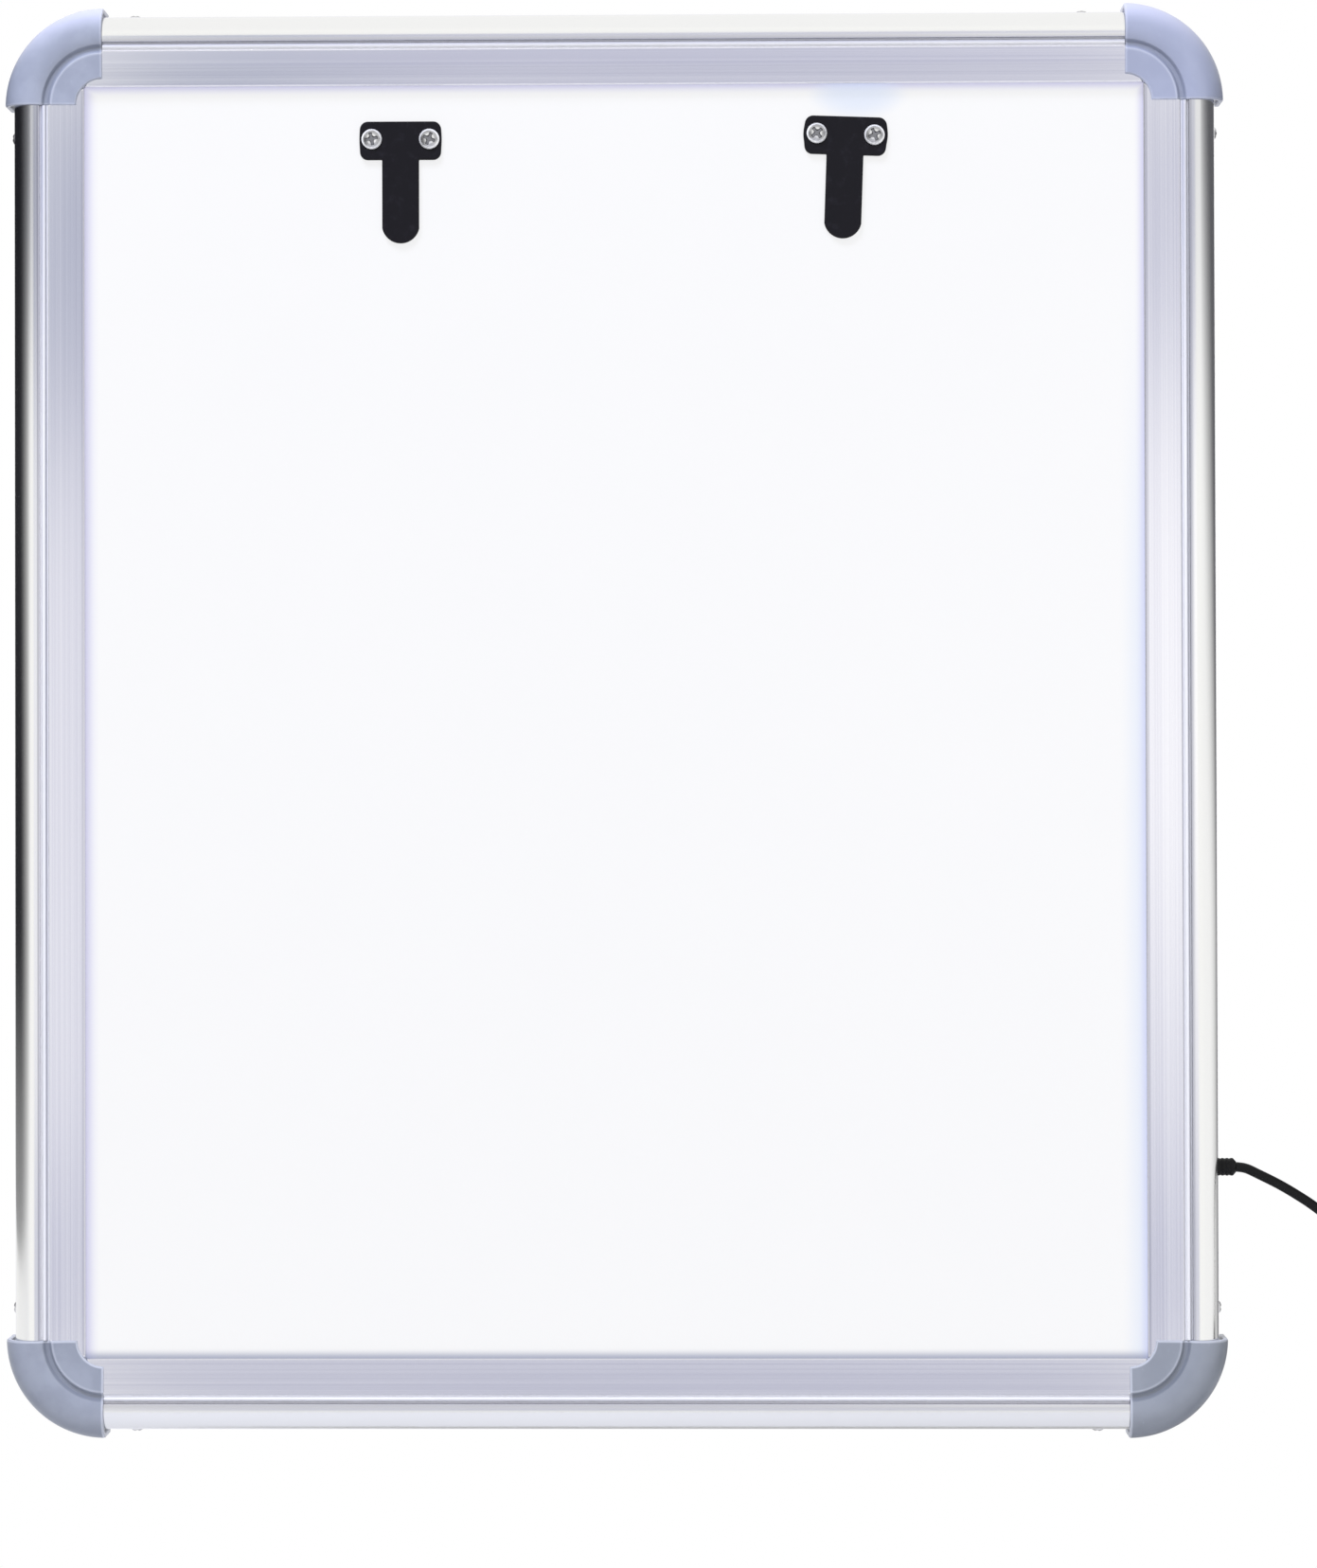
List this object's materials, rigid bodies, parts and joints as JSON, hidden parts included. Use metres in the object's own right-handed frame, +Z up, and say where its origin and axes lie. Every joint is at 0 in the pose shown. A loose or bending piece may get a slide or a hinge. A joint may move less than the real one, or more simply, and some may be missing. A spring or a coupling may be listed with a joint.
{
  "type": "x-ray film viewer",
  "caption": "Slim wall-hung light box: an edge-lit opal screen in an aluminium frame with moulded corners, rubber film clips and a thin cord to a mains adaptor.",
  "frame": {"origin": "on the wall plane, midway between the round entries of the two keyholes in the top rail", "axes": "+Z up along the viewer's height, +X to the right seen from the front, -Y the way the lit screen faces, +Y into the wall"},
  "size_m": [0.5157, 0.0309, 0.6017],
  "materials": {
    "rail_aluminium": "satin extruded and clear anodised, with fine lines along each rail",
    "corner_plastic": "satin moulded plastic, grey-blue",
    "screw_steel": "nickel plated",
    "opal_acrylic": "opal white, lit from behind",
    "clear_acrylic": "clear with printed dots behind",
    "white_film": "matt white",
    "panel_plastic": "matt, pale grey",
    "strip_board": "white board",
    "light_chip": "yellow phosphor in a white case",
    "wire_insulation": "red insulation",
    "clip_rubber": "black, slightly glossy",
    "cord_rubber": "black flexible sheath",
    "adaptor_plastic": "black, fine texture",
    "pin_metal": "nickel plated brass",
    "circuit_board": "green solder mask",
    "transformer_tape": "yellow tape round a core",
    "capacitor_can": "sleeved can"
  },
  "bodies": {
    "frame": {"top_rail": "rail_aluminium", "right_rail": "rail_aluminium", "bottom_rail": "rail_aluminium", "left_rail": "rail_aluminium", "top_right_corner": "corner_plastic", "bottom_right_corner": "corner_plastic", "bottom_left_corner": "corner_plastic", "top_left_corner": "corner_plastic", "corner_screws": "screw_steel", "diffuser_screen": "opal_acrylic", "light_guide": "clear_acrylic", "reflector_sheet": "white_film", "back_panel": "panel_plastic", "right_led_board": "strip_board", "left_led_board": "strip_board", "right_led_chips": "light_chip", "left_led_chips": "light_chip", "supply_wires": "wire_insulation", "jumper_wires": "wire_insulation", "left_clip_bar": "clip_rubber", "right_clip_bar": "clip_rubber", "clip_screws": "screw_steel", "cord_relief": "cord_rubber", "cord_lead": "cord_rubber", "cord_coil": "cord_rubber", "cord_tail": "cord_rubber", "cord_tie": "cord_rubber", "adaptor_case": "adaptor_plastic", "adaptor_cover": "adaptor_plastic", "adaptor_pins": "pin_metal", "adaptor_circuit": "circuit_board", "adaptor_transformer": "transformer_tape", "adaptor_capacitor": "capacitor_can", "adaptor_relief": "cord_rubber"},
    "left_tongue": {"left_clip_tongue": "clip_rubber"},
    "right_tongue": {"right_clip_tongue": "clip_rubber"}
  },
  "joints": [
    {"name": "left_clip_flex", "type": "hinge", "parent": "frame", "child": "left_tongue", "pos_m": [-0.072, -0.0184, -0.04], "axis": [-1, 0, 0], "range_deg": [0, 40], "stiffness_Nm_per_rad": 0.01},
    {"name": "right_clip_flex", "type": "hinge", "parent": "frame", "child": "right_tongue", "pos_m": [0.07854, -0.0184, -0.03899], "axis": [-0.9994, 0, 0.0349], "range_deg": [0, 40], "stiffness_Nm_per_rad": 0.01}
  ]
}
